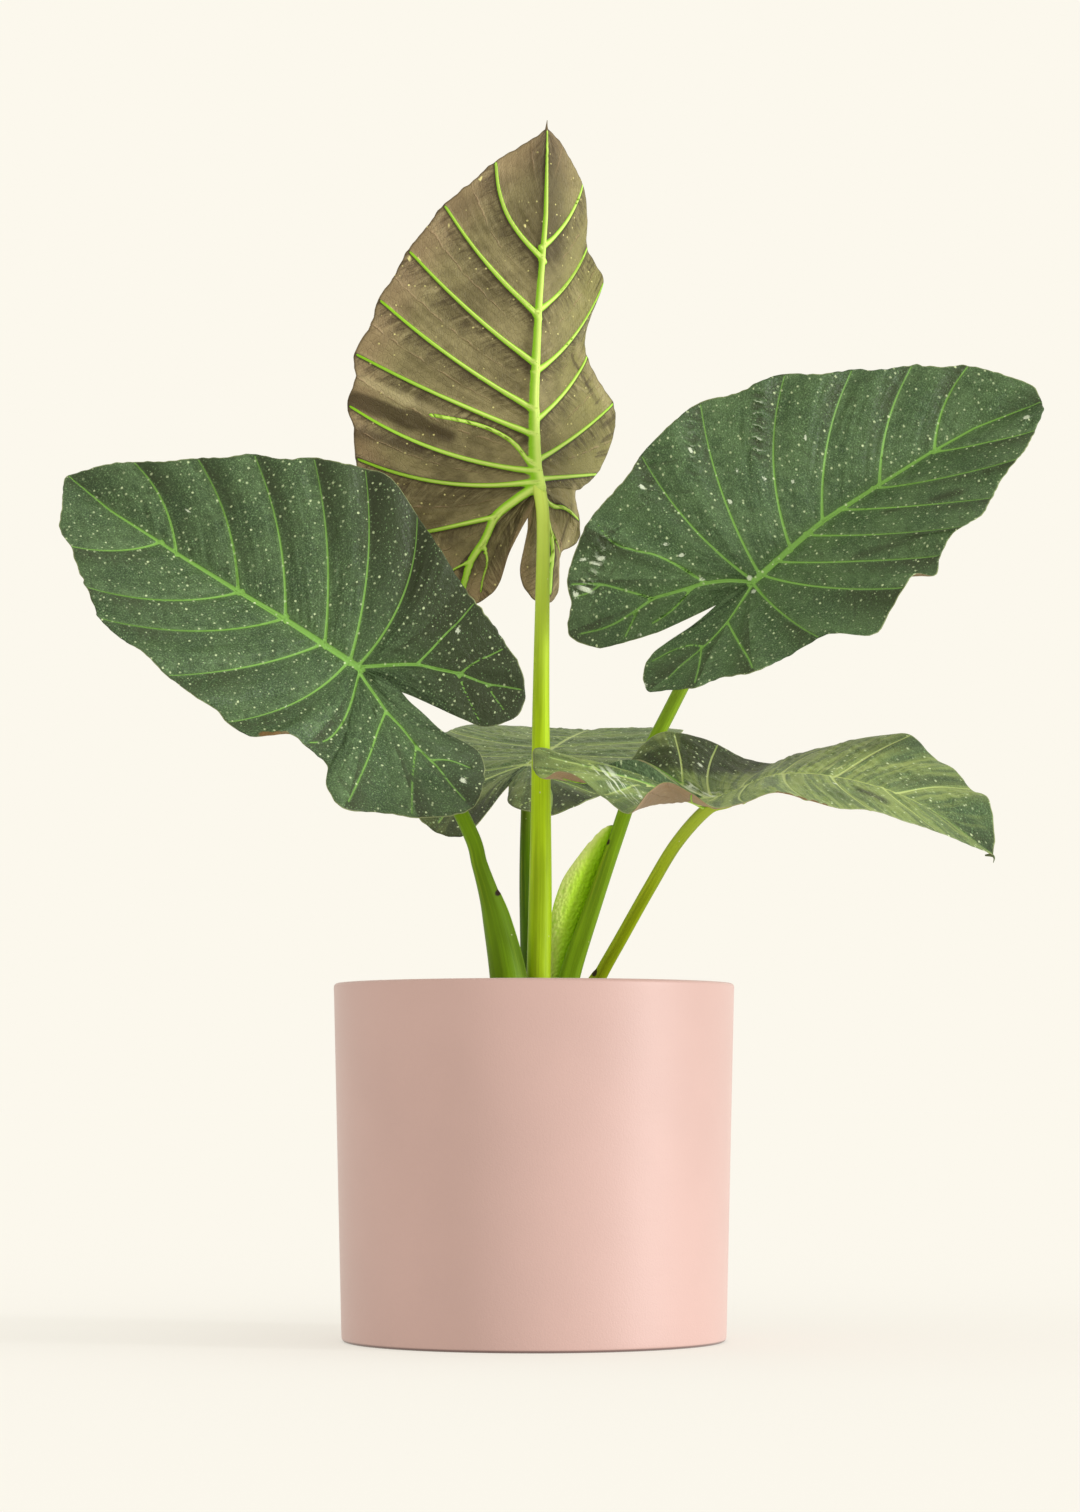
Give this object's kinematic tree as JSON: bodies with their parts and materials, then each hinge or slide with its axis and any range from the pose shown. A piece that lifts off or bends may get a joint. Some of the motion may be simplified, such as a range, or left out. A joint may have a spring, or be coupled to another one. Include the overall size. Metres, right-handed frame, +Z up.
{
  "type": "potted regal shields alocasia",
  "caption": "Potted aroid houseplant with large shield-shaped, wavy-edged, pale-veined leaves on long stalks in a round matt pot.",
  "frame": {"origin": "centre of the pot's underside, on the floor", "axes": "+Z up; +X to the picture's right; the picture looks along +Y, so -Y is the front"},
  "size_m": [0.6328, 0.4988, 0.7928],
  "materials": {
    "pot": "matt, unglazed look",
    "soil": "crumbly, moist",
    "stem_base": "fibrous, dry",
    "sheath": "satin",
    "petiole": "satin",
    "blade": "satin, wrinkled"
  },
  "bodies": {
    "root": {"pot": "pot", "soil": "soil", "stem_base": "stem_base", "sheath": "sheath", "petiole_upright": "petiole", "blade_upright": "blade", "petiole_left": "petiole", "blade_left": "blade", "petiole_right": "petiole", "blade_right": "blade", "petiole_low_right": "petiole", "blade_low_right": "blade", "petiole_back": "petiole", "blade_back": "blade"}
  },
  "joints": []
}
